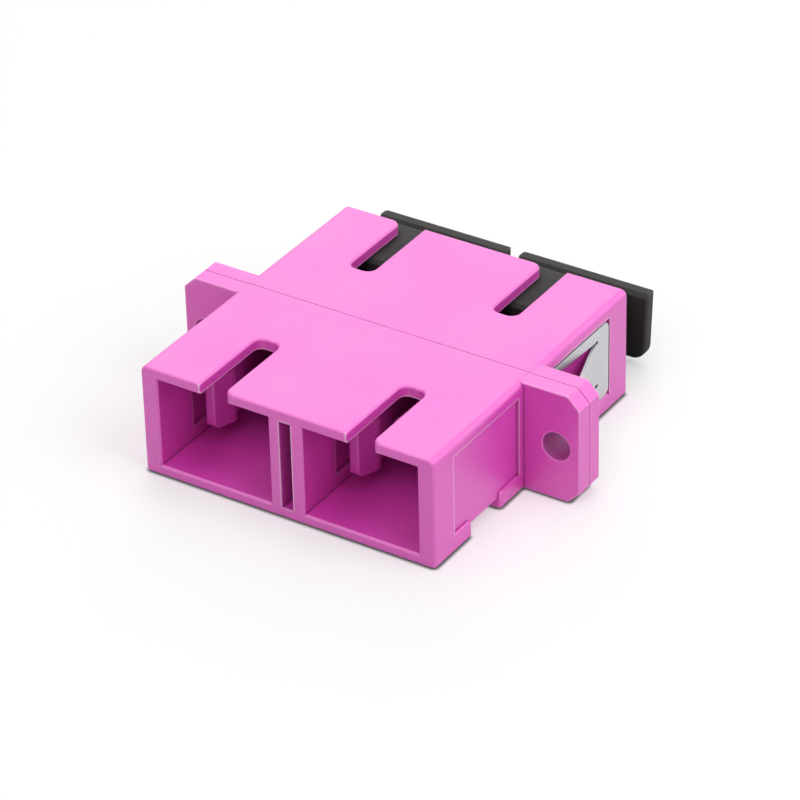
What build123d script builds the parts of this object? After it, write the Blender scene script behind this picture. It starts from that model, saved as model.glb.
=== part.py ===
from build123d import *
import os
from math import cos, radians, sin, tan

# Duplex fibre adapter with a screw flange, as it lies on its flat bottom.
# Millimetres. X runs across the two ports, Y along the fibres with the open
# ports at -Y, and Z up. The origin is the middle of the flange: midway between
# the two screw holes, on the plane where the two housing halves are welded.

# Housing half
port_pitch = 12.7
half_length = 13.65
body_width = 25.3
body_height = 9.2
top_edge_radius = 0.55
bottom_edge_radius = 0.3
mouth_edge_radius = 0.22

# Flange
flange_reach = 4.7
flange_thickness = 1.44
flange_step = 0.04
flange_corner = 1.0
flange_rim_radius = 0.1
weld_bevel = 0.07
screw_edge_distance = 1.95
screw_hole_radius = 1.15
screw_hole_lead_in = 0.06

# Ports
port_width = 9.76
port_height = 7.44
port_lead_in = 0.15
key_slot_width = 2.1
key_slot_length = 7.6
key_slot_end_radius = 0.7
key_slot_lead_radius = 0.8
centre_slot_width = 1.0
centre_slot_depth = 8.5
hook_pocket_start = 4.25
hook_pocket_depth = 0.37
hook_pocket_height = 5.3

# Recess in each side, and groove across the bottom, for the panel clip
recess_depth = 0.25
recess_near = 2.05
recess_far = 11.0
recess_top = 3.55
block_top = -3.1
block_edge_radius = 0.22
block_corner_radius = 0.45
groove_near = 4.75
groove_far = 8.68
groove_depth = 0.4
groove_corner = 0.6

# Latch insert: base plate, sleeve holder and two latch arms in one moulding
base_width = 10.4
base_height = 7.9
base_thickness = 1.2
base_clearance = 0.05
holder_radius = 2.2
holder_length = 6.1
holder_lip = 0.35
holder_lip_radius = 1.45
arm_outer_face = 3.68
arm_thickness = 0.86
arm_height = 4.3
arm_length = 9.5
hook_height = 0.6
hook_ramp = 1.6
hook_land = 0.35
hook_undercut = 0.2
hook_nose_radius = 0.2
hook_corner_radius = 0.45

# Alignment sleeve
ferrule_radius = 1.25
sleeve_wall = 0.35
sleeve_length = 11.4
sleeve_slit = 0.5
sleeve_lead_in = 0.1
sleeve_clearance = 0.05

# Panel clip
clip_sheet = 0.24
clip_gap = 0.15
clip_corner_radius = 0.6
clip_relief = 0.2
tab_hinge = 9.1
tab_length = 5.6
tab_bottom = -1.35
tab_top = 2.2
tab_angle = 18.0
tab_bend_radius = 0.8
tab_hinge_overlap = 0.3
window_border = 1.0
window_flare = 0.28
window_corner_radius = 0.4
tab_corner_radius = 0.5

# Dust cap
cap_clearance = 0.12
cap_depth = 4.7
cap_collar = 1.0
cap_wall = 0.92
cap_floor = 0.45
cap_tip_bevel = 0.3
neck_width = 7.6
neck_height = 4.6
neck_length = 2.55
grip_width = 11.6
grip_height = 5.65
grip_drop = 0.3
grip_thickness = 1.05
grip_lean = 0.45
grip_edge_radius = 0.25
grip_corner_radius = 1.2
grip_bevel = 0.3

# Sizes that follow from those above
flange_width = body_width + 2 * flange_reach
flange_height = body_height - 2 * flange_step
screw_spacing = flange_width - 2 * screw_edge_distance
seat_width = base_width + 2 * base_clearance
seat_height = base_height + 2 * base_clearance
seat_depth = base_thickness + base_clearance
recess_face = body_width / 2 - recess_depth
groove_ceiling = groove_depth - body_height / 2
sleeve_radius = ferrule_radius + sleeve_wall
holder_bore = sleeve_radius + sleeve_clearance
cap_width = port_width - 2 * cap_clearance
cap_height = port_height - 2 * cap_clearance
port_centres = {"left": -port_pitch / 2, "right": port_pitch / 2}
margin = 1.0
touch = 0.01

os.makedirs("parts", exist_ok=True)


# Front housing half: a box with two ports, and half of the flange
with BuildPart() as front_housing:
    with BuildSketch(Plane.XZ) as body_outline:
        Rectangle(body_width, body_height)
        fillet(body_outline.vertices().group_by(Axis.Y)[-1], top_edge_radius)
        fillet(body_outline.vertices().group_by(Axis.Y)[0], bottom_edge_radius)
    extrude(amount=half_length)

    # Ports
    with BuildSketch(Plane.XZ):
        with GridLocations(port_pitch, 0, 2, 1):
            Rectangle(port_width, port_height)
    extrude(amount=half_length, mode=Mode.SUBTRACT)
    mouths = front_housing.faces().sort_by(Axis.Y)[0].inner_wires().edges()
    chamfer(mouths, port_lead_in)

    # Key slots through the top wall, each with one rounded corner at the mouth
    with BuildSketch(Plane.XY) as key_slots:
        with GridLocations(port_pitch, 0, 2, 1):
            with Locations((0, key_slot_length / 2 - half_length)):
                Rectangle(key_slot_width, key_slot_length)
        slot_ends = key_slots.vertices().group_by(Axis.Y)[-1]
        fillet(slot_ends, key_slot_end_radius)
        with Locations((0, -half_length - margin / 2)):
            Rectangle(body_width, margin)
        lead_corners = key_slots.vertices().filter_by_position(
            Axis.Y, -half_length - touch, -half_length + touch
        )
        lead_corners = lead_corners.sort_by(Axis.X)
        fillet([lead_corners[2], lead_corners[4]], key_slot_lead_radius)
    extrude(amount=body_height, mode=Mode.SUBTRACT)
    top_rims = front_housing.faces().sort_by(Axis.Z)[-1].edges().filter_by(
        lambda edge: edge.center().Y < -touch
        and abs(edge.center().X) < body_width / 2 - top_edge_radius - touch
    )
    mouth_rims = front_housing.faces().sort_by(Axis.Y)[0].edges().filter_by(
        lambda edge: abs(edge.center().X) > body_width / 2 - top_edge_radius
        or edge.center().Z < touch - body_height / 2
    )
    fillet(top_rims + mouth_rims, mouth_edge_radius)

    with BuildSketch(Plane.XZ) as flange_outline:
        Rectangle(flange_width, flange_height)
        chamfer(flange_outline.vertices(), flange_corner)
    extrude(amount=flange_thickness)
    flange_faces = front_housing.faces().filter_by(
        lambda face: abs(face.center().Y + flange_thickness) < touch
    )
    flange_rims = flange_faces.edges().filter_by(
        lambda edge: abs(edge.center().X) > body_width / 2 + touch
    )
    fillet(flange_rims, flange_rim_radius)
    with BuildSketch(Plane.XZ):
        with GridLocations(screw_spacing, 0, 2, 1):
            Circle(screw_hole_radius)
    extrude(amount=flange_thickness, mode=Mode.SUBTRACT)
    hole_rims = front_housing.edges().filter_by(GeomType.CIRCLE).filter_by(
        lambda edge: abs(edge.radius - screw_hole_radius) < touch and edge.center().Y < -touch
    )
    chamfer(hole_rims, screw_hole_lead_in)
    chamfer(front_housing.faces().sort_by(Axis.Y)[-1].edges(), weld_bevel)

    # Seats of the inserts, and pockets beside the latch arms
    with BuildSketch(Plane.XZ):
        with GridLocations(port_pitch, 0, 2, 1):
            Rectangle(seat_width, seat_height)
    extrude(amount=seat_depth, mode=Mode.SUBTRACT)
    with BuildSketch(Plane.XZ):
        with GridLocations(port_pitch, 0, 2, 1):
            Rectangle(port_width + 2 * hook_pocket_depth, hook_pocket_height)
    extrude(amount=half_length - hook_pocket_start, mode=Mode.SUBTRACT)

    # Blind slot between the ports
    with BuildSketch(Plane.XZ.offset(half_length)):
        Rectangle(centre_slot_width, port_height)
    extrude(amount=-centre_slot_depth, mode=Mode.SUBTRACT)

    # Clip recess in both sides, with a rounded block at each end of it
    for side in (-1, 1):
        with BuildSketch(Plane.YZ.offset(side * recess_face)) as recess:
            with BuildLine():
                Polyline(
                    (-recess_near, recess_top),
                    (-recess_near, block_top),
                    (-groove_near, block_top),
                    (-groove_near, -body_height / 2 - margin),
                    (-groove_far, -body_height / 2 - margin),
                    (-groove_far, block_top),
                    (-recess_far, block_top),
                    (-recess_far, recess_top),
                    close=True,
                )
            make_face()
            block_corners = recess.vertices().group_by(Axis.Y)[1].sort_by(Axis.X)[1:3]
            fillet(block_corners, block_corner_radius)
        extrude(amount=side * (recess_depth + margin), mode=Mode.SUBTRACT)

    # Clip groove across the bottom, cut back at both corners
    with BuildSketch(Plane.XZ.offset(groove_near)):
        with BuildLine():
            Polyline(
                (-recess_face - margin, -body_height / 2 - margin),
                (recess_face + margin, -body_height / 2 - margin),
                (recess_face + margin, groove_ceiling + groove_corner),
                (recess_face, groove_ceiling + groove_corner),
                (recess_face - groove_corner, groove_ceiling),
                (groove_corner - recess_face, groove_ceiling),
                (-recess_face, groove_ceiling + groove_corner),
                (-recess_face - margin, groove_ceiling + groove_corner),
                close=True,
            )
        make_face()
    extrude(amount=groove_far - groove_near, mode=Mode.SUBTRACT)
    block_rims = front_housing.edges().filter_by(
        lambda edge: abs(abs(edge.center().X) - body_width / 2) < touch
        and -recess_far < edge.center().Y < -recess_near
        and bottom_edge_radius - body_height / 2 < edge.center().Z < block_top + touch
    )
    fillet(block_rims, block_edge_radius)

front_housing.part.label = "front_housing"
export_step(front_housing.part, "parts/front_housing.step")


# Rear housing half: the same moulding turned round and welded to the front half
with BuildPart() as rear_housing:
    add(front_housing.part, rotation=(0, 0, 180))

rear_housing.part.label = "rear_housing"
export_step(rear_housing.part, "parts/rear_housing.step")


# Latch insert, as it stands in a front port on the Y axis
with BuildPart() as latch_insert:
    with BuildSketch(Plane.XZ):
        Rectangle(base_width, base_height)
    extrude(amount=base_thickness)
    with BuildSketch(Plane.XZ):
        Circle(holder_radius)
    extrude(amount=holder_length)
    with BuildSketch(Plane.XZ):
        Circle(holder_bore)
    extrude(amount=holder_length - holder_lip, mode=Mode.SUBTRACT)
    with BuildSketch(Plane.XZ):
        Circle(holder_lip_radius)
    extrude(amount=holder_length, mode=Mode.SUBTRACT)

    for side in (-1, 1):
        arm_inner_face = arm_outer_face - arm_thickness
        ramp_end = arm_length - hook_ramp
        hook_back = ramp_end - hook_land
        with BuildSketch(Plane.XY.offset(-arm_height / 2)) as arm_profile:
            with BuildLine():
                Polyline(
                    (side * arm_outer_face, -base_thickness / 2),
                    (side * arm_outer_face, -arm_length),
                    (side * arm_inner_face, -arm_length),
                    (side * (arm_inner_face - hook_height), -ramp_end),
                    (side * (arm_inner_face - hook_height), -hook_back),
                    (side * arm_inner_face, hook_undercut - hook_back),
                    (side * arm_inner_face, -base_thickness / 2),
                    close=True,
                )
            make_face()
            nose = arm_profile.vertices().group_by(Axis.Y)[0]
            fillet(nose, hook_nose_radius)
        extrude(amount=arm_height)
    with BuildSketch(Plane.YZ):
        with Locations((-arm_length, 0)):
            Rectangle(2 * hook_corner_radius, arm_height)
        with Locations((arm_length / 2 - arm_length, 0)):
            RectangleRounded(arm_length, arm_height, hook_corner_radius, mode=Mode.SUBTRACT)
    extrude(amount=arm_outer_face, both=True, mode=Mode.SUBTRACT)

for port_name, port_centre in port_centres.items():
    for end_name, turn in (("front", 0), ("rear", 180)):
        with BuildPart() as placed_insert:
            with Locations((port_centre, 0, 0)):
                add(latch_insert.part, rotation=(0, 0, turn))
        placed_insert.part.label = f"latch_insert_{end_name}_{port_name}"
        export_step(placed_insert.part, f"parts/{placed_insert.part.label}.step")


# Alignment sleeve: a ceramic tube with a slit along its top
with BuildPart() as alignment_sleeve:
    with BuildSketch(Plane.XZ.offset(-sleeve_length / 2)):
        Circle(sleeve_radius)
        Circle(ferrule_radius, mode=Mode.SUBTRACT)
    extrude(amount=sleeve_length)
    bore_rims = alignment_sleeve.faces().filter_by(Axis.Y).edges()
    bore_rims = bore_rims.filter_by(lambda edge: edge.radius < sleeve_radius)
    chamfer(bore_rims, sleeve_lead_in)
    with BuildSketch(Plane.XZ.offset(-sleeve_length / 2)):
        with Locations((0, sleeve_radius)):
            Rectangle(sleeve_slit, 2 * ferrule_radius)
    extrude(amount=sleeve_length, mode=Mode.SUBTRACT)

for port_name, port_centre in port_centres.items():
    with BuildPart() as placed_sleeve:
        with Locations((port_centre, 0, 0)):
            add(alignment_sleeve.part)
    placed_sleeve.part.label = f"alignment_sleeve_{port_name}"
    export_step(placed_sleeve.part, f"parts/{placed_sleeve.part.label}.step")


# Panel clip: one folded strip of spring steel under and beside the rear half
with BuildPart() as panel_clip:
    clip_near = groove_near + clip_gap
    clip_far = groove_far - clip_gap
    plate_near = recess_near + clip_gap
    plate_far = recess_far - clip_gap
    plate_top = recess_top - clip_gap
    plate_bottom = block_top + clip_gap
    with BuildSketch(Plane.XZ.offset(-clip_far)) as clip_section:
        with Locations((0, (plate_top + groove_ceiling - clip_sheet) / 2)):
            Rectangle(2 * (recess_face + clip_sheet), plate_top - groove_ceiling + clip_sheet)
        outer_bends = clip_section.vertices().group_by(Axis.Y)[0]
        fillet(outer_bends, groove_corner + clip_sheet)
        with BuildSketch(mode=Mode.PRIVATE) as clip_inside:
            with Locations((0, (plate_top + margin + groove_ceiling) / 2)):
                Rectangle(2 * recess_face, plate_top + margin - groove_ceiling)
            inner_bends = clip_inside.vertices().group_by(Axis.Y)[0]
            fillet(inner_bends, groove_corner)
        add(clip_inside.sketch, mode=Mode.SUBTRACT)
    extrude(amount=clip_far - clip_near)

    for side in (-1, 1):
        with BuildSketch(Plane.YZ.offset(side * recess_face)) as plate:
            with Locations(((plate_near + plate_far) / 2, (plate_bottom + plate_top) / 2)):
                RectangleRounded(plate_far - plate_near, plate_top - plate_bottom, clip_corner_radius)
        extrude(amount=side * clip_sheet)
        with BuildSketch(Plane.YZ.offset(side * recess_face)) as window:
            with BuildLine():
                Polyline(
                    (tab_hinge, tab_bottom - clip_relief),
                    (plate_near + window_border, tab_bottom - clip_relief - window_flare),
                    (plate_near + window_border, tab_top + clip_relief + window_flare),
                    (tab_hinge, tab_top + clip_relief),
                    close=True,
                )
            make_face()
            fillet(window.vertices().group_by(Axis.X)[0], window_corner_radius)
            with Locations(
                (tab_hinge, tab_bottom - clip_relief / 2), (tab_hinge, tab_top + clip_relief / 2)
            ):
                Circle(clip_relief)
        extrude(amount=side * clip_sheet, mode=Mode.SUBTRACT)

        # The tab keeps the sheet's thickness and leans out from a smooth bend
        half_turn = tan(radians(tab_angle / 2))
        bend = tab_hinge - (tab_bend_radius + clip_sheet) * half_turn
        run = Vector(side * sin(radians(tab_angle)), -cos(radians(tab_angle))) * tab_length
        across = Vector(side * cos(radians(tab_angle)), sin(radians(tab_angle))) * clip_sheet
        bend_inside = Vector(side * recess_face, bend)
        bend_outside = Vector(side * (recess_face + clip_sheet), bend + clip_sheet * half_turn)
        with BuildSketch(Plane.XY.offset(tab_bottom)) as tab_profile:
            with BuildLine():
                Polyline(
                    (side * recess_face, tab_hinge + tab_hinge_overlap),
                    bend_inside,
                    bend_inside + run,
                    bend_inside + run + across,
                    bend_outside,
                    (side * (recess_face + clip_sheet), tab_hinge + tab_hinge_overlap),
                    close=True,
                )
            make_face()
            fillet(tab_profile.vertices().sort_by_distance(bend_inside)[0], tab_bend_radius + clip_sheet)
            fillet(tab_profile.vertices().sort_by_distance(bend_outside)[0], tab_bend_radius)
        extrude(amount=tab_top - tab_bottom)
        tip_corners = panel_clip.edges().filter_by(
            lambda edge: abs(edge.length - clip_sheet) < touch
            and side * edge.center().X > recess_face + clip_sheet + touch
        )
        fillet(tip_corners, tab_corner_radius)

panel_clip.part.label = "panel_clip"
export_step(panel_clip.part, "parts/panel_clip.step")


# Dust cap, as it stands in a rear port on the Y axis: a hollow plug, and a grip
# plate that leans back a little and has its lower corners rounded
with BuildPart() as dust_cap:
    collar_end = half_length + cap_collar
    grip_front = collar_end + neck_length
    cap_bottom = -cap_height / 2
    grip_bottom = cap_bottom - grip_drop
    grip_top = grip_bottom + grip_height
    with BuildSketch(Plane.XZ.offset(-collar_end)):
        Rectangle(cap_width, cap_height)
    extrude(amount=cap_depth + cap_collar)
    tip = dust_cap.faces().sort_by(Axis.Y)[0].edges()
    chamfer(tip, cap_tip_bevel)
    with BuildSketch(Plane.XZ.offset(-collar_end)):
        with Locations((0, cap_bottom + neck_height / 2)):
            Rectangle(neck_width, neck_height)
    extrude(amount=-(neck_length + grip_lean))
    with BuildSketch(Plane.YZ.offset(-grip_width / 2)) as grip_side:
        with BuildLine():
            Polyline(
                (grip_front, grip_bottom),
                (grip_front + grip_thickness, grip_bottom),
                (grip_front + grip_thickness + grip_lean, grip_top),
                (grip_front + grip_lean, grip_top),
                close=True,
            )
        make_face()
        chamfer(grip_side.vertices().group_by(Axis.Y)[-1].sort_by(Axis.X)[0], grip_bevel)
    extrude(amount=grip_width)
    lower_corners = dust_cap.edges().filter_by(
        lambda edge: abs(abs(edge.center().X) - grip_width / 2) < touch
        and abs(edge.center().Z - grip_bottom) < touch
    )
    fillet(lower_corners, grip_corner_radius)
    grip_sides = dust_cap.edges().filter_by(
        lambda edge: abs(abs(edge.center().X) - grip_width / 2) < touch
        and edge.length > grip_height / 2
    )
    fillet(grip_sides, grip_edge_radius)
    with BuildSketch(Plane.XZ.offset(cap_depth - half_length)):
        Rectangle(cap_width - 2 * cap_wall, cap_height - 2 * cap_wall)
    extrude(amount=-(cap_depth + cap_collar - cap_floor), mode=Mode.SUBTRACT)

for port_name, port_centre in port_centres.items():
    with BuildPart() as placed_cap:
        with Locations((port_centre, 0, 0)):
            add(dust_cap.part)
    placed_cap.part.label = f"dust_cap_{port_name}"
    export_step(placed_cap.part, f"parts/{placed_cap.part.label}.step")
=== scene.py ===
from math import pi, radians

import bpy
from bpy.props import FloatProperty, FloatVectorProperty, PointerProperty
from mathutils import Matrix, Vector


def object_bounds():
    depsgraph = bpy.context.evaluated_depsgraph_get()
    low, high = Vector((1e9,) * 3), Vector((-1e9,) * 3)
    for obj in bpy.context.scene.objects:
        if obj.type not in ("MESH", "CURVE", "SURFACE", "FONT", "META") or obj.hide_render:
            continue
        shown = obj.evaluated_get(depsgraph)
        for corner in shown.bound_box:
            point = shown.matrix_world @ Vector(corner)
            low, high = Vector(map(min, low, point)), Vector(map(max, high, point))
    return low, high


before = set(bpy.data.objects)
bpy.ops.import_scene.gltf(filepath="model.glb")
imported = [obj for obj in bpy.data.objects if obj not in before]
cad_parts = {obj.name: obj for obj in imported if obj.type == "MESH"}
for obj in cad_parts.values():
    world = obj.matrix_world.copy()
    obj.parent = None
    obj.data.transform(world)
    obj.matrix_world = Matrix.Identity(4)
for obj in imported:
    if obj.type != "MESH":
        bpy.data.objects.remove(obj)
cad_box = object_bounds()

bl_info = {
    "name": "Duplex Fibre Adapter",
    "version": (1, 0, 0),
    "blender": (4, 5, 0),
    "location": "3D View > Sidebar > Adapter",
    "description": "Gives a duplex fibre adapter its finishes and sets it on a pale table",
    "category": "Material",
}

HOUSINGS = ("front_housing", "rear_housing")
INSERTS = (
    "latch_insert_front_left", "latch_insert_front_right",
    "latch_insert_rear_left", "latch_insert_rear_right",
)
SLEEVES = ("alignment_sleeve_left", "alignment_sleeve_right")
CLIPS = ("panel_clip",)
CAPS = ("dust_cap_left", "dust_cap_right")

MILLIMETRE = 0.001

# Places on the housing that its finish follows
BODY_HALF_WIDTH = 12.65 * MILLIMETRE
FLANGE_HALF_THICKNESS = 1.44 * MILLIMETRE
SCREW_HOLE_OFFSET = 15.4 * MILLIMETRE
SCREW_HOLE_RADIUS = 1.15 * MILLIMETRE
SCREW_HOLE_BLUR = 0.05 * MILLIMETRE

# Dark lines on the housing: how far from the middle they are full, and where they have faded out
WELD_LINE = (0.03 * MILLIMETRE, 0.11 * MILLIMETRE)
STEP_LINE = (0.04 * MILLIMETRE, 0.10 * MILLIMETRE)
STEP_LINE_FADE = 0.5 * MILLIMETRE

# Plastic
PLASTIC_IOR = 1.58
CLOUD_SIZE = 6 * MILLIMETRE
FLOW_MARK_SIZE = 1.1 * MILLIMETRE
ALONG_FLOW = (1, 0.18, 1)
PIT_SPACING = 0.9 * MILLIMETRE
PORT_HOLLOW = 9 * MILLIMETRE
CAP_HOLLOW = 4 * MILLIMETRE
INSERT_POLISH = 0.06

# Steel
ROLLING_LINE_WIDTH = 0.05 * MILLIMETRE
ROLLING_LINE_DEPTH = 0.002 * MILLIMETRE
ALONG_ROLLING = (0.02, 0.02, 1)
STAIN_SIZE = 2.5 * MILLIMETRE
STEEL_EDGE_REACH = 0.08 * MILLIMETRE

# Ceramic
CERAMIC_IOR = 2.1
GRINDING_RING_WIDTH = 0.06 * MILLIMETRE
GRINDING_RING_DEPTH = 0.001 * MILLIMETRE
ALONG_RINGS = (0.05, 1, 0.05)
CERAMIC_CLOUD_SIZE = 1.5 * MILLIMETRE

# Lamps: name, place and width in metres, and whether they show in gloss alone
LAMPS = (
    ("top", (-0.05, 0.05, 0.60), 0.50, False),
    ("side", (0.46, 0.02, 0.46), 0.45, False),
    ("back", (-0.28, 0.43, 0.33), 0.40, False),
    ("front", (0.05, -0.48, 0.50), 0.40, False),
    ("sheen", (0.29, 0.50, 0.26), 0.60, True),
    ("edge", (-0.28, -0.20, 0.49), 0.25, True),
)

# Camera: its place and nearest sight in metres, its turn, and its sensor's width in millimetres
CAMERA_PLACE = (0.141790, -0.213885, 0.162206)
CAMERA_AZIMUTH = radians(33.354)
CAMERA_ELEVATION = radians(32.589)
CAMERA_ROLL = radians(-1.441)
SENSOR_WIDTH = 36.0
NEAREST_SEEN = 0.01


class AdapterFinish(bpy.types.PropertyGroup):
    """Colours and surface of the adapter's pieces"""

    housing_colour: FloatVectorProperty(
        name="Housing", description="Colour of the moulded housing halves and latch inserts",
        subtype="COLOR", size=3, min=0, max=1, default=(0.81, 0.060, 0.545),
    )
    housing_roughness: FloatProperty(
        name="Housing roughness", description="Middle roughness of the housing's satin surface",
        subtype="FACTOR", min=0, max=1, default=0.38,
    )
    # Reach of the painted highlight along outer edges and of the painted shade in creases
    edge_highlight_and_crease_reach: FloatProperty(
        name="Worn edge", description="How far a rubbed edge or a dark crease reaches over the plastic",
        subtype="DISTANCE", unit="LENGTH", min=0, default=0.00022, precision=5,
    )
    cap_colour: FloatVectorProperty(
        name="Dust cap", description="Colour of the dust caps",
        subtype="COLOR", size=3, min=0, max=1, default=(0.056, 0.053, 0.052),
    )
    cap_roughness: FloatProperty(
        name="Dust cap roughness", description="Middle roughness of the dust caps",
        subtype="FACTOR", min=0, max=1, default=0.62,
    )
    clip_colour: FloatVectorProperty(
        name="Panel clip", description="Colour of the clip's spring steel",
        subtype="COLOR", size=3, min=0, max=1, default=(0.515, 0.525, 0.54),
    )
    clip_roughness: FloatProperty(
        name="Panel clip roughness", description="Middle roughness of the rolled steel",
        subtype="FACTOR", min=0, max=1, default=0.42,
    )
    sleeve_colour: FloatVectorProperty(
        name="Alignment sleeve", description="Colour of the ceramic sleeves",
        subtype="COLOR", size=3, min=0, max=1, default=(0.86, 0.84, 0.78),
    )


class AdapterStage(bpy.types.PropertyGroup):
    """Table, lamps and camera"""

    floor_width: FloatProperty(
        name="Table width", description="Width of the pale table under the adapter",
        subtype="DISTANCE", unit="LENGTH", min=0.1, default=2.4,
    )
    floor_colour: FloatVectorProperty(
        name="Table", description="Colour of the table",
        subtype="COLOR", size=3, min=0, max=1, default=(0.62, 0.62, 0.62),
    )
    floor_seen: FloatProperty(
        name="Table seen",
        description="How pale the table is to the camera before the lift; less is a fainter shadow",
        subtype="FACTOR", min=0, max=1, default=0.60,
    )
    floor_lift: FloatProperty(
        name="Table lift", description="Light added to the table as the camera sees it, so that it is white",
        min=0, default=0.385,
    )
    floor_shine: FloatProperty(
        name="Table shine", description="Light added to the table as glossy faces mirror it",
        min=0, default=0.20,
    )
    contact_reach: FloatProperty(
        name="Contact shadow", description="How far the dark line under the adapter reaches over the table",
        subtype="DISTANCE", unit="LENGTH", min=0, default=0.00035, precision=5,
    )
    room_light: FloatProperty(
        name="Room light", description="Even light from all round",
        min=0, default=0.30,
    )
    top_power: FloatProperty(
        name="Top lamp", description="Power of the large lamp above",
        subtype="POWER", unit="POWER", min=0, default=1.27,
    )
    side_power: FloatProperty(
        name="Side lamp", description="Power of the soft lamp at the right side",
        subtype="POWER", unit="POWER", min=0, default=1.75,
    )
    back_power: FloatProperty(
        name="Back lamp", description="Power of the wide lamp behind, which gives the top its sheen",
        subtype="POWER", unit="POWER", min=0, default=0.80,
    )
    front_power: FloatProperty(
        name="Front lamp", description="Power of the soft lamp at the front",
        subtype="POWER", unit="POWER", min=0, default=0.8,
    )
    sheen_power: FloatProperty(
        name="Sheen lamp", description="Power of the wide lamp behind right, seen in gloss alone",
        subtype="POWER", unit="POWER", min=0, default=1.7,
    )
    edge_power: FloatProperty(
        name="Edge lamp",
        description="Power of the lamp at the left that lines the front edges, seen in gloss alone",
        subtype="POWER", unit="POWER", min=0, default=0.6,
    )
    lens: FloatProperty(
        name="Lens", description="Focal length of the camera",
        subtype="DISTANCE_CAMERA", min=1, default=183.402,
    )


def add_node(tree, kind, inputs=None, **settings):
    """Adds a node; inputs maps a socket's name or number to a value or to the socket it is fed from."""
    node = tree.nodes.new(kind)
    for name, value in settings.items():
        setattr(node, name, value)
    for key, value in (inputs or {}).items():
        if isinstance(value, bpy.types.NodeSocket):
            tree.links.new(value, node.inputs[key])
        else:
            node.inputs[key].default_value = value
    return node


def empty_material(name):
    """Returns (material, node tree) with no node in the tree."""
    material = bpy.data.materials.new(name)
    material.use_nodes = True
    material.node_tree.nodes.clear()
    return material, material.node_tree


def new_material(name):
    """Returns (material, node tree, shader) with a Principled shader on the output."""
    material, tree = empty_material(name)
    shader = add_node(tree, "ShaderNodeBsdfPrincipled")
    add_node(tree, "ShaderNodeOutputMaterial", {"Surface": shader.outputs["BSDF"]})
    return material, tree, shader


def object_position(tree, stretch=(1, 1, 1)):
    """Position in the piece's own frame, stretched."""
    place = add_node(tree, "ShaderNodeTexCoord")
    mapping = add_node(tree, "ShaderNodeMapping", {"Vector": place.outputs["Object"], "Scale": stretch})
    return mapping.outputs["Vector"]


def noise(tree, position, size, detail=2.0, roughness=0.5):
    """Noise between 0 and 1 with features of about that size in metres."""
    node = add_node(
        tree, "ShaderNodeTexNoise",
        {"Vector": position, "Scale": 1 / size, "Detail": detail, "Roughness": roughness},
    )
    return node.outputs["Fac"]


def spread(tree, value, low, high, from_low=0.3, from_high=0.7):
    """Maps a value onto low..high."""
    node = add_node(
        tree, "ShaderNodeMapRange",
        {"Value": value, "From Min": from_low, "From Max": from_high, "To Min": low, "To Max": high},
    )
    return node.outputs["Result"]


def arithmetic(tree, operation, *values):
    """One Math node."""
    return add_node(tree, "ShaderNodeMath", dict(enumerate(values)), operation=operation).outputs[0]


def add(tree, first, second):
    return arithmetic(tree, "ADD", first, second)


def subtract(tree, first, second):
    return arithmetic(tree, "SUBTRACT", first, second)


def multiply(tree, first, second):
    return arithmetic(tree, "MULTIPLY", first, second)


def larger(tree, first, second):
    return arithmetic(tree, "MAXIMUM", first, second)


def magnitude(tree, value):
    """The value without its sign."""
    return arithmetic(tree, "ABSOLUTE", value)


def brighter(colour, factor):
    return tuple(min(1.0, channel * factor) for channel in colour)


def paler(colour, share):
    return tuple(channel + (1 - channel) * share for channel in colour)


def painted_hollow_shade(colour):
    """The violet painted as shade in a hollow, as it looks where light reaches it by way of the same
    plastic.
    """
    red, green, blue = colour
    return (0.50 * red, 0.20 * green, 0.55 * blue)


def blend_colours(tree, factor, first, second):
    """Mixes two colours by a varying factor."""
    node = add_node(tree, "ShaderNodeMix", {"Factor": factor}, data_type="RGBA")
    colours = [socket for socket in node.inputs if socket.type == "RGBA"]
    for socket, colour in zip(colours, (first, second)):
        if isinstance(colour, bpy.types.NodeSocket):
            tree.links.new(colour, socket)
        else:
            socket.default_value = (*colour, 1)
    return next(socket for socket in node.outputs if socket.type == "RGBA")


def clouded(tree, cloud, colour, darkest, lightest):
    """The colour, varied by a noise from darkest to lightest times as bright."""
    dark = brighter(colour, darkest)
    light = brighter(colour, lightest)
    return blend_colours(tree, spread(tree, cloud, 0, 1), dark, light)


def marked(tree, marks, share, base, mark_colour):
    """The base colour with up to that share of another where a noise is high."""
    return blend_colours(tree, spread(tree, marks, 0, share), base, mark_colour)


def tinted(tree, mask, share, base, tint):
    """The base colour with that share of a tint where the mask is 1."""
    return blend_colours(tree, multiply(tree, mask, share), base, tint)


def add_relief(tree, shader, height, depth, strength):
    """Raises the surface by a height map, whose 1 is depth metres."""
    bump = add_node(tree, "ShaderNodeBump", {"Height": height, "Distance": depth, "Strength": strength})
    tree.links.new(bump.outputs["Normal"], shader.inputs["Normal"])


def openness(tree, reach, inside, alone=True):
    """1 where no face is within reach.

    inside looks through the plastic and not through the air, and alone leaves the other pieces out.
    """
    node = add_node(
        tree, "ShaderNodeAmbientOcclusion", {"Distance": reach}, inside=inside, only_local=alone, samples=8,
    )
    return node.outputs["AO"]


def ridges(tree, reach):
    """1 along outer edges, 0 on open faces; it places the painted edge highlights."""
    return spread(tree, openness(tree, reach, True), 1, 0, from_low=0.55, from_high=0.88)


def creases(tree, reach):
    """1 in narrow gaps, less along inner corners, 0 on open faces; it places painted shade there."""
    return spread(tree, openness(tree, reach, False, alone=False), 1, 0, from_low=0.22, from_high=0.92)


def hollows(tree, width, alone):
    """1 deep in a hollow up to that width, 0 on open faces."""
    return spread(tree, openness(tree, width, False, alone=alone), 1, 0, from_low=0.1, from_high=0.9)


def pits(tree, position):
    """1 in small pits, 0 elsewhere."""
    cells = add_node(tree, "ShaderNodeTexVoronoi", {"Vector": position, "Scale": 1 / PIT_SPACING})
    return spread(tree, cells.outputs["Distance"], 1, 0, from_low=0.02, from_high=0.07)


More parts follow.
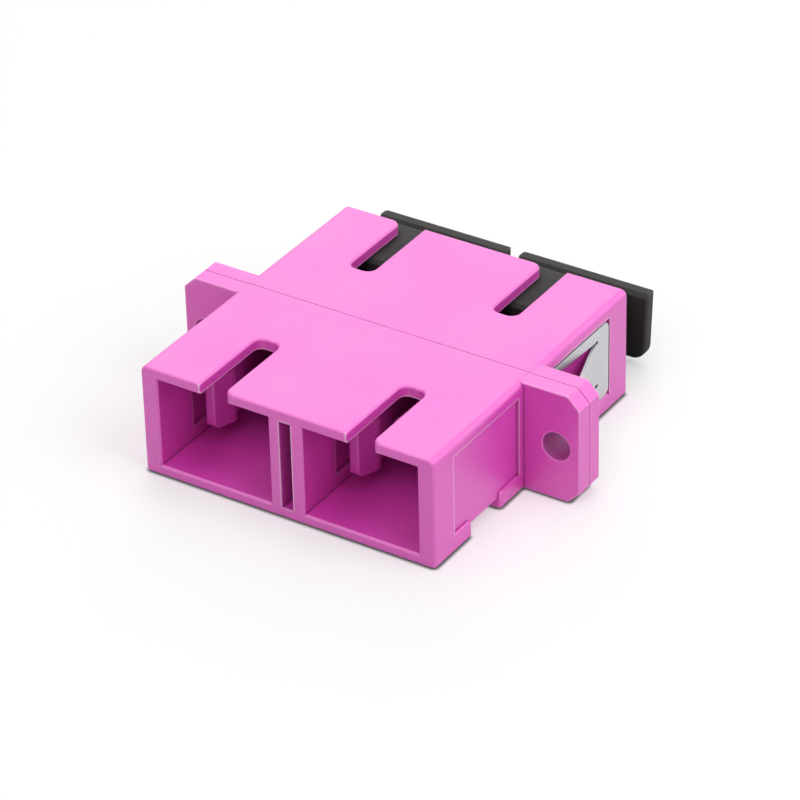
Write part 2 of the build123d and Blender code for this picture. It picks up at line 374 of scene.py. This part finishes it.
def facing(tree, axis):
    """How far a face looks along an axis, -1 to 1."""
    normal = add_node(tree, "ShaderNodeNewGeometry").outputs["Normal"]
    return add_node(tree, "ShaderNodeSeparateXYZ", {0: normal}).outputs[axis]


def seams(tree):
    """1 on the weld between the housing halves, less where the flange ends flush with the body."""
    place = add_node(tree, "ShaderNodeSeparateXYZ", {0: object_position(tree)})
    along = magnitude(tree, place.outputs["Y"])
    across = magnitude(tree, place.outputs["X"])
    weld = spread(tree, along, 1, 0, *WELD_LINE)
    off_step = magnitude(tree, subtract(tree, along, FLANGE_HALF_THICKNESS))
    step = spread(tree, off_step, 0.6, 0, *STEP_LINE)
    on_body = spread(tree, across, 1, 0, BODY_HALF_WIDTH - STEP_LINE_FADE, BODY_HALF_WIDTH)
    level = spread(tree, magnitude(tree, facing(tree, "Y")), 1, 0, from_low=0.2, from_high=0.6)
    flush = multiply(tree, multiply(tree, step, on_body), level)
    return larger(tree, weld, flush)


def screw_holes(tree):
    """1 on the walls of the flange's screw holes, which go through both housing halves."""
    place = add_node(tree, "ShaderNodeSeparateXYZ", {0: object_position(tree)})
    across = magnitude(tree, place.outputs["X"])
    sideways = subtract(tree, across, SCREW_HOLE_OFFSET)
    offset = add_node(tree, "ShaderNodeCombineXYZ", {"X": sideways, "Z": place.outputs["Z"]})
    radius = add_node(tree, "ShaderNodeVectorMath", {0: offset.outputs[0]}, operation="LENGTH")
    return spread(
        tree, radius.outputs["Value"], 1, 0, SCREW_HOLE_RADIUS, SCREW_HOLE_RADIUS + SCREW_HOLE_BLUR,
    )


def moulded_plastic(
    name, colour, roughness, edge_reach, grain_size, grain_depth, highlighted, shade_colour, gloss,
    welded=False, fitted=False, hollow_width=PORT_HOLLOW, shade=0.55, floor_shade=0.2,
):
    """Satin moulded plastic: faint flow marks, spark-eroded grain, painted highlights on edges and painted
    shade in creases and hollows.

    Its paler colour is the painted highlight on outer edges and its darker one the painted shade in hollows,
    shade is how far a hollow takes the painted shade, and floor_shade the share of that on faces that look
    up. A fitted piece takes painted shade from the other pieces too, and a welded one has the weld line and
    painted shade in the screw holes.
    """
    material, tree, shader = new_material(name)
    shader.inputs["Specular IOR Level"].default_value = gloss
    shader.inputs["IOR"].default_value = PLASTIC_IOR

    position = object_position(tree)
    cloud = noise(tree, position, CLOUD_SIZE, 3)
    flow = noise(tree, object_position(tree, ALONG_FLOW), FLOW_MARK_SIZE, 4, 0.6)
    grain = noise(tree, position, grain_size, 3, 0.65)
    height = subtract(tree, grain, multiply(tree, pits(tree, position), 0.8))

    hollow = hollows(tree, hollow_width, alone=not fitted)
    # Painted shade in hollows: full on walls, the floor_shade share on faces that look up
    hollow_shade = multiply(tree, hollow, spread(tree, facing(tree, "Z"), 1, floor_shade, 0.9, 0.99))
    ridge = multiply(tree, ridges(tree, edge_reach), spread(tree, hollow, 1, 0.12, 0.35, 0.7))
    crease = creases(tree, edge_reach)
    if welded:
        # Painted shade fills the holes throughout, and no painted edge highlight lies in them or along the
        # lines
        holes = screw_holes(tree)
        seam = seams(tree)
        hollow_shade = larger(tree, hollow_shade, holes)
        ridge = multiply(tree, ridge, spread(tree, holes, 1, 0, 0, 1))
        ridge = multiply(tree, ridge, spread(tree, seam, 1, 0, 0, 0.3))
        crease = larger(tree, crease, spread(tree, holes, 0, 0.25, 0, 1))
        crease = multiply(tree, crease, spread(tree, seam, 1, 0.12, 0, 0.3))
        height = subtract(tree, height, seam)

    toned = clouded(tree, cloud, colour, 0.965, 1.035)
    streaked = marked(tree, flow, 0.10, toned, brighter(colour, 0.80))
    grained = marked(tree, grain, 0.09, streaked, brighter(colour, 0.80))
    # Painted shade in hollows and screw holes
    shaded = tinted(tree, hollow_shade, shade, grained, shade_colour)
    if welded:
        shaded = tinted(tree, seam, 0.30, shaded, brighter(colour, 0.45))
    # Painted highlight along outer edges
    edged = tinted(tree, ridge, 0.6, shaded, highlighted)
    # Painted shade in creases, narrow gaps and inner corners
    crease_shaded = tinted(tree, crease, 0.9, edged, brighter(colour, 0.06))
    tree.links.new(crease_shaded, shader.inputs["Base Color"])

    uneven = add(tree, spread(tree, cloud, -0.04, 0.04), spread(tree, grain, -0.03, 0.03))
    polished = add(tree, multiply(tree, ridge, -0.10), multiply(tree, hollow_shade, 0.35))
    tree.links.new(add(tree, add(tree, uneven, roughness), polished), shader.inputs["Roughness"])

    add_relief(tree, shader, height, grain_depth, 0.6)
    return material


def rolled_steel(name, colour, roughness, edge_reach):
    """Dull spring steel with rolling lines, painted highlights along its edges and painted shade in gaps."""
    material, tree, shader = new_material(name)
    shader.inputs["Metallic"].default_value = 1.0
    shader.inputs["Anisotropic"].default_value = 0.35

    lines = noise(tree, object_position(tree, ALONG_ROLLING), ROLLING_LINE_WIDTH, 3, 0.7)
    stains = noise(tree, object_position(tree), STAIN_SIZE, 4, 0.6)
    toned = clouded(tree, stains, colour, 0.94, 1.04)
    lined = marked(tree, lines, 0.22, toned, brighter(colour, 0.72))
    # Painted highlight along edges, then painted shade in gaps
    edged = tinted(tree, ridges(tree, edge_reach), 0.6, lined, brighter(colour, 1.4))
    crease_shaded = tinted(tree, creases(tree, 2 * edge_reach), 0.95, edged, brighter(colour, 0.04))
    tree.links.new(crease_shaded, shader.inputs["Base Color"])

    uneven = add(tree, spread(tree, stains, -0.05, 0.07), spread(tree, lines, -0.04, 0.05))
    tree.links.new(add(tree, uneven, roughness), shader.inputs["Roughness"])

    add_relief(tree, shader, lines, ROLLING_LINE_DEPTH, 0.5)
    return material


def ground_ceramic(name, colour):
    """Zirconia with the fine rings of centreless grinding."""
    material, tree, shader = new_material(name)
    shader.inputs["IOR"].default_value = CERAMIC_IOR

    rings = noise(tree, object_position(tree, ALONG_RINGS), GRINDING_RING_WIDTH, 3, 0.6)
    cloud = noise(tree, object_position(tree), CERAMIC_CLOUD_SIZE, 3)
    tree.links.new(clouded(tree, cloud, colour, 0.95, 1.04), shader.inputs["Base Color"])
    tree.links.new(spread(tree, rings, 0.14, 0.26), shader.inputs["Roughness"])

    add_relief(tree, shader, rings, GRINDING_RING_DEPTH, 0.4)
    return material


def paint(nodes, material):
    """Gives the material to CAD nodes, which keep their own mesh."""
    for name in nodes:
        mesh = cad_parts[name].data
        mesh.materials.clear()
        mesh.materials.append(material)


class ADAPTER_OT_finish_housing(bpy.types.Operator):
    """Satin violet plastic on both housing halves"""

    bl_idname = "adapter.finish_housing"
    bl_label = "Finish housing"

    def execute(self, context):
        finish = context.scene.adapter_finish
        colour = tuple(finish.housing_colour)
        # The paler colour is a painted highlight on edges and the deeper violet painted shade in hollows
        material = moulded_plastic(
            "housing_plastic", colour, finish.housing_roughness, finish.edge_highlight_and_crease_reach,
            grain_size=0.16 * MILLIMETRE, grain_depth=0.016 * MILLIMETRE,
            highlighted=paler(colour, 0.72), shade_colour=painted_hollow_shade(colour), gloss=0.95, welded=True,
        )
        paint(HOUSINGS, material)
        return {"FINISHED"}


class ADAPTER_OT_finish_inserts(bpy.types.Operator):
    """The same plastic, a little smoother, on the latch inserts"""

    bl_idname = "adapter.finish_inserts"
    bl_label = "Finish latch inserts"

    def execute(self, context):
        finish = context.scene.adapter_finish
        colour = brighter(tuple(finish.housing_colour), 0.96)
        # The paler colour is a painted highlight on edges and the deeper violet painted shade in hollows
        material = moulded_plastic(
            "insert_plastic", colour, finish.housing_roughness - INSERT_POLISH, finish.edge_highlight_and_crease_reach,
            grain_size=0.10 * MILLIMETRE, grain_depth=0.005 * MILLIMETRE,
            highlighted=paler(colour, 0.3), shade_colour=painted_hollow_shade(colour), gloss=0.8, fitted=True,
        )
        paint(INSERTS, material)
        return {"FINISHED"}


class ADAPTER_OT_finish_sleeves(bpy.types.Operator):
    """Ground ceramic on the alignment sleeves"""

    bl_idname = "adapter.finish_sleeves"
    bl_label = "Finish alignment sleeves"

    def execute(self, context):
        finish = context.scene.adapter_finish
        paint(SLEEVES, ground_ceramic("sleeve_ceramic", tuple(finish.sleeve_colour)))
        return {"FINISHED"}


class ADAPTER_OT_finish_clip(bpy.types.Operator):
    """Rolled spring steel on the panel clip"""

    bl_idname = "adapter.finish_clip"
    bl_label = "Finish panel clip"

    def execute(self, context):
        finish = context.scene.adapter_finish
        colour = tuple(finish.clip_colour)
        paint(CLIPS, rolled_steel("clip_steel", colour, finish.clip_roughness, STEEL_EDGE_REACH))
        return {"FINISHED"}


class ADAPTER_OT_finish_caps(bpy.types.Operator):
    """Dark matt plastic on the dust caps"""

    bl_idname = "adapter.finish_caps"
    bl_label = "Finish dust caps"

    def execute(self, context):
        finish = context.scene.adapter_finish
        colour = tuple(finish.cap_colour)
        # The paler colour is a painted highlight on edges and the darker one painted shade in hollows, also
        # where the housing covers the caps
        material = moulded_plastic(
            "cap_plastic", colour, finish.cap_roughness, finish.edge_highlight_and_crease_reach,
            grain_size=0.16 * MILLIMETRE, grain_depth=0.014 * MILLIMETRE,
            highlighted=paler(colour, 0.05), shade_colour=brighter(colour, 0.5), gloss=0.08, fitted=True,
            hollow_width=CAP_HOLLOW, shade=1.6, floor_shade=1.0,
        )
        paint(CAPS, material)
        return {"FINISHED"}


def seen_directly(tree):
    """1 for rays that come straight from the camera, or by way of a reflection or a clear piece."""
    rays = add_node(tree, "ShaderNodeLightPath")
    mirror = larger(tree, rays.outputs["Is Glossy Ray"], rays.outputs["Is Transmission Ray"])
    return larger(tree, rays.outputs["Is Camera Ray"], mirror)


def pale_table(stage):
    """Matt table that looks white, with the adapter's shadow and a painted contact shadow line where the two
    meet.
    """
    material, tree = empty_material("pale_table")
    seen = seen_directly(tree)
    open_air = openness(tree, stage.contact_reach, False, alone=False)
    # Painted contact shadow: the table darkens where the adapter is within reach
    contact_shadow = spread(tree, open_air, 0.15, 1, from_low=0.45, from_high=0.95)
    pale = multiply(tree, contact_shadow, stage.floor_seen)
    tone = blend_colours(tree, seen, tuple(stage.floor_colour), pale)
    matt = add_node(tree, "ShaderNodeBsdfDiffuse", {"Color": tone})
    lift = multiply(tree, multiply(tree, seen, contact_shadow), stage.floor_lift)
    mirrored = add_node(tree, "ShaderNodeLightPath").outputs["Is Glossy Ray"]
    shine = multiply(tree, mirrored, stage.floor_shine)
    glow = add_node(tree, "ShaderNodeEmission", {"Strength": add(tree, lift, shine)})
    both = add_node(tree, "ShaderNodeAddShader", {0: matt.outputs[0], 1: glow.outputs[0]})
    add_node(tree, "ShaderNodeOutputMaterial", {"Surface": both.outputs[0]})
    return material


def add_table(stage):
    """A level table that touches the underside of the adapter."""
    underside = cad_box[0][2]
    bpy.ops.mesh.primitive_plane_add(size=stage.floor_width, location=(0, 0, underside))
    floor = bpy.context.active_object
    floor.name = "table"
    floor.data.materials.append(pale_table(stage))


def white_room(room_light):
    """A room that looks white and lights the adapter evenly at that level."""
    world = bpy.data.worlds.new("white_room")
    world.use_nodes = True
    tree = world.node_tree
    tree.nodes.clear()
    level = spread(tree, seen_directly(tree), room_light, 1, 0, 1)
    air = add_node(tree, "ShaderNodeBackground", {"Color": (1, 1, 1, 1), "Strength": level})
    add_node(tree, "ShaderNodeOutputWorld", {"Surface": air.outputs[0]})
    return world


def add_lamp(name, place, width, power, gloss_only):
    """A square area lamp that faces the adapter; gloss_only leaves matt light out."""
    lamp = bpy.data.lights.new(name, "AREA")
    lamp.shape = "SQUARE"
    lamp.size = width
    lamp.energy = power
    holder = bpy.data.objects.new(name, lamp)
    holder.location = place
    holder.rotation_euler = (-Vector(place)).to_track_quat("-Z", "Y").to_euler()
    holder.visible_diffuse = not gloss_only
    bpy.context.scene.collection.objects.link(holder)


def camera_pose():
    """The camera's place and turn; a level camera at azimuth 0 looks along +Y."""
    turn = (
        Matrix.Rotation(CAMERA_AZIMUTH, 3, "Z")
        @ Matrix.Rotation(pi / 2 - CAMERA_ELEVATION, 3, "X")
        @ Matrix.Rotation(CAMERA_ROLL, 3, "Z")
    )
    return Matrix.LocRotScale(Vector(CAMERA_PLACE), turn, None)


def photo_camera(lens):
    """A camera at the photograph's viewing angle."""
    camera_data = bpy.data.cameras.new("photo_camera")
    camera_data.sensor_fit = "HORIZONTAL"
    camera_data.sensor_width = SENSOR_WIDTH
    camera_data.lens = lens
    camera_data.clip_start = NEAREST_SEEN
    camera = bpy.data.objects.new("photo_camera", camera_data)
    camera.matrix_world = camera_pose()
    bpy.context.scene.collection.objects.link(camera)
    return camera


class ADAPTER_OT_set_stage(bpy.types.Operator):
    """Pale table, soft lamps and the camera"""

    bl_idname = "adapter.set_stage"
    bl_label = "Set the stage"

    def execute(self, context):
        scene = context.scene
        stage = scene.adapter_stage
        add_table(stage)
        scene.world = white_room(stage.room_light)
        for name, place, width, gloss_only in LAMPS:
            add_lamp(f"{name}_lamp", place, width, getattr(stage, f"{name}_power"), gloss_only)
        scene.camera = photo_camera(stage.lens)
        scene.view_settings.view_transform = "Standard"
        return {"FINISHED"}


class ADAPTER_PT_panel(bpy.types.Panel):
    """Steps that finish the adapter, in order"""

    bl_label = "Fibre adapter"
    bl_idname = "ADAPTER_PT_panel"
    bl_space_type = "VIEW_3D"
    bl_region_type = "UI"
    bl_category = "Adapter"

    def draw(self, context):
        layout = self.layout
        for group in (context.scene.adapter_finish, context.scene.adapter_stage):
            column = layout.column(align=True)
            for name in group.__annotations__:
                column.prop(group, name)
        column = layout.column(align=True)
        for operator in OPERATORS:
            column.operator(operator.bl_idname)


OPERATORS = (
    ADAPTER_OT_finish_housing,
    ADAPTER_OT_finish_inserts,
    ADAPTER_OT_finish_sleeves,
    ADAPTER_OT_finish_clip,
    ADAPTER_OT_finish_caps,
    ADAPTER_OT_set_stage,
)
CLASSES = (AdapterFinish, AdapterStage, *OPERATORS, ADAPTER_PT_panel)


def register():
    for cls in CLASSES:
        bpy.utils.register_class(cls)
    bpy.types.Scene.adapter_finish = PointerProperty(type=AdapterFinish)
    bpy.types.Scene.adapter_stage = PointerProperty(type=AdapterStage)


def unregister():
    del bpy.types.Scene.adapter_stage
    del bpy.types.Scene.adapter_finish
    for cls in reversed(CLASSES):
        bpy.utils.unregister_class(cls)


def main():
    register()
    bpy.ops.adapter.finish_housing()
    bpy.ops.adapter.finish_inserts()
    bpy.ops.adapter.finish_sleeves()
    bpy.ops.adapter.finish_clip()
    bpy.ops.adapter.finish_caps()
    bpy.ops.adapter.set_stage()


if __name__ == "__main__":
    main()
